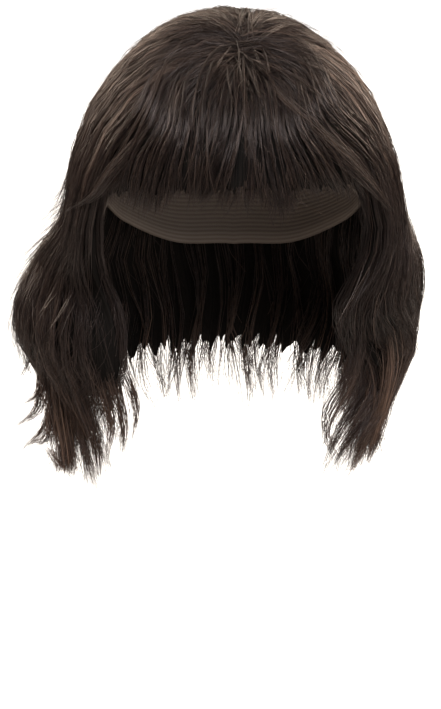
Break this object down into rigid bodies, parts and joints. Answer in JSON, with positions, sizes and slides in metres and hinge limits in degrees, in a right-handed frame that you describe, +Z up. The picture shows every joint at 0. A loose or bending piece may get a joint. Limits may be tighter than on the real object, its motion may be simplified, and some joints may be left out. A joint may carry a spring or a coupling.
{
  "type": "real hair wig",
  "caption": "Dark brown real hair wig with a full straight fringe, a short parting and wavy shoulder-length sides on a fitted cap.",
  "frame": {"origin": "inside of the cap at the top of the head, where the wig sits", "axes": "+Z up, -Y the way the wearer looks, +X towards the wearer's left"},
  "size_m": [0.233, 0.2199, 0.2652],
  "materials": {
    "hair": "satin",
    "cap_net": "matte"
  },
  "bodies": {
    "root": {"cap": "cap_net", "crown_hair": "hair", "fringe": "hair", "side_hair_right": "hair", "side_hair_left": "hair", "back_hair": "hair"}
  },
  "joints": []
}
